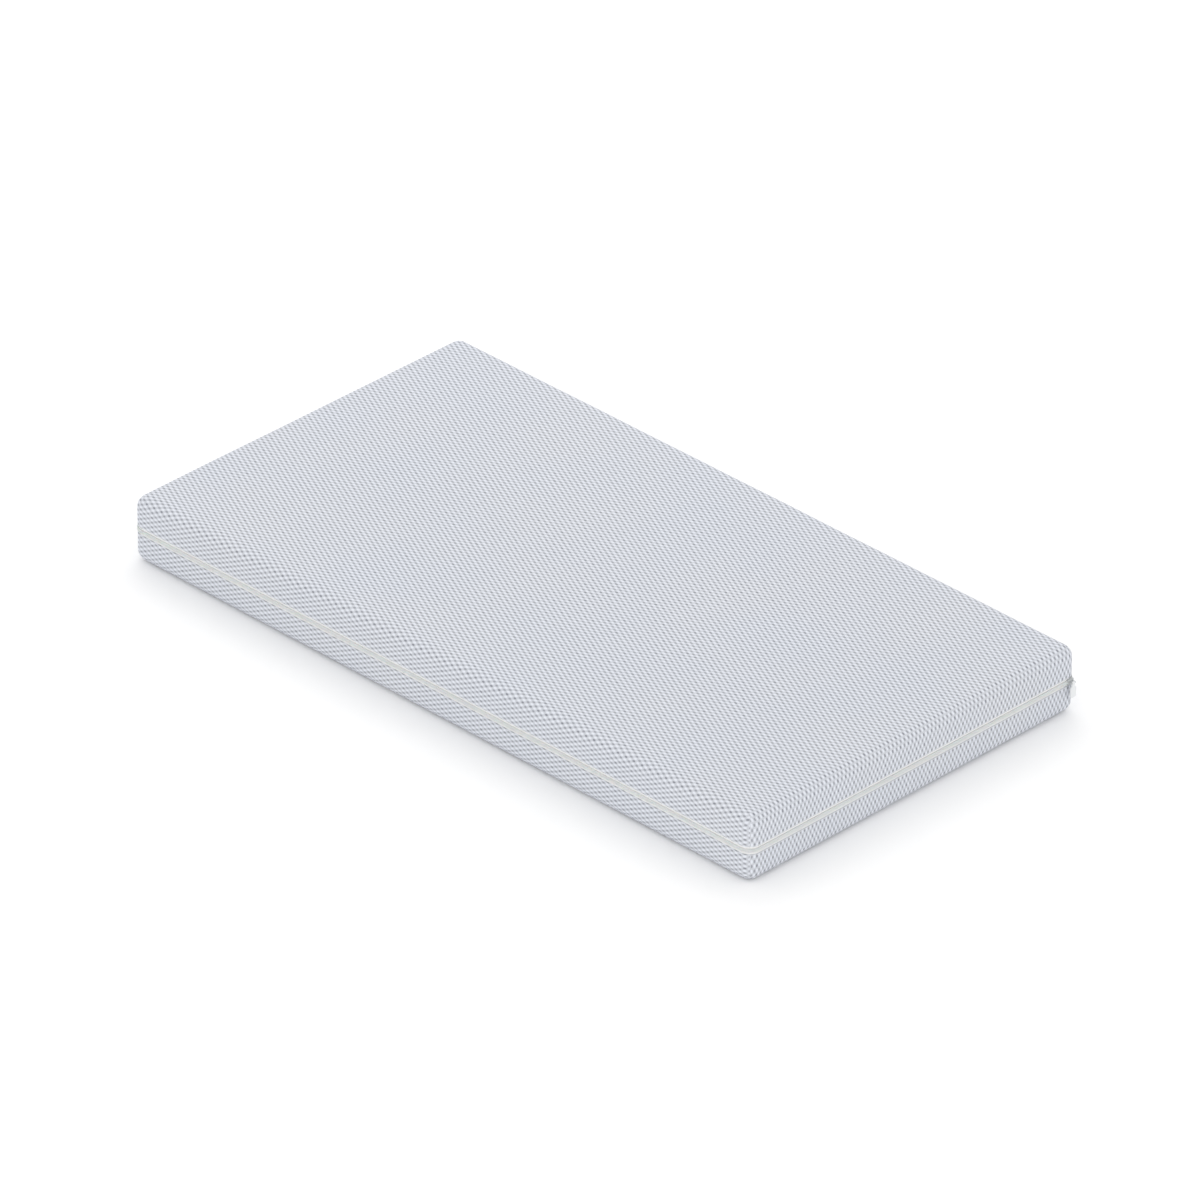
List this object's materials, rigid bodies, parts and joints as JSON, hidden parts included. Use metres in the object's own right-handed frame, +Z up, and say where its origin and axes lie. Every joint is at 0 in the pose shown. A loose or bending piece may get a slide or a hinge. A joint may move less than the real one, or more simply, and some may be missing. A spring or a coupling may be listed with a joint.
{
  "type": "memory foam cot mattress",
  "caption": "Rectangular cot mattress: a layered foam core in a stretch sock, inside a knitted cover that unzips along the front and ends and folds open at the back.",
  "frame": {"origin": "the middle of the mattress's rectangular footprint, on its underside", "axes": "+X along the length, towards the end where the zip slider is parked; +Y across the width, from the zipped front to the back where the cover folds open; +Z up, through the thickness"},
  "size_m": [1.3295, 0.7008, 0.114],
  "materials": {
    "cloth": "matte",
    "seam_allowance": "matte",
    "zip_tape": "matte",
    "zip_coil": "satin",
    "thread": "satin",
    "slider_metal": "satin",
    "spring_steel": "satin",
    "pull": "satin",
    "memory_foam": "matte",
    "base_foam": "matte",
    "adhesive": "satin",
    "sock": "matte",
    "label": "satin"
  },
  "bodies": {
    "mattress": {"cover_bottom": "cloth", "corner_seams_lower": "seam_allowance", "zip_tape_lower": "zip_tape", "zip_coil_lower": "zip_coil", "tape_stitching_lower": "thread", "bar_tacks_lower": "thread", "top_stop_lower": "slider_metal", "bottom_stop": "slider_metal", "core_sock": "sock", "sock_seam": "thread", "memory_foam": "memory_foam", "adhesive_layer": "adhesive", "base_foam": "base_foam", "care_label": "label"},
    "cover_upper": {"cover_top": "cloth", "corner_seams_upper": "seam_allowance", "zip_tape_upper": "zip_tape", "zip_coil_upper": "zip_coil", "tape_stitching_upper": "thread", "bar_tacks_upper": "thread", "top_stop_upper": "slider_metal"},
    "slider": {"slider_body": "slider_metal", "slider_crown": "slider_metal", "slider_lock_spring": "spring_steel"},
    "pull": {"zip_pull": "pull"}
  },
  "joints": [
    {"name": "cover_fold", "type": "hinge", "parent": "mattress", "child": "cover_upper", "pos_m": [0, 0.3503, 0.057], "axis": [-1, 0, 0], "range_deg": [0, 178], "deforming": ["zip_coil_upper"]},
    {"name": "slider_travel", "type": "slide", "parent": "mattress", "child": "slider", "axis": [0, -1, 0], "range_m": [0, 0.65], "deforming": ["zip_coil_lower"]},
    {"name": "pull_swing", "type": "hinge", "parent": "slider", "child": "pull", "pos_m": [0.6666, 0.334, 0.057], "axis": [0, -1, 0], "range_deg": [-8, 165]}
  ]
}
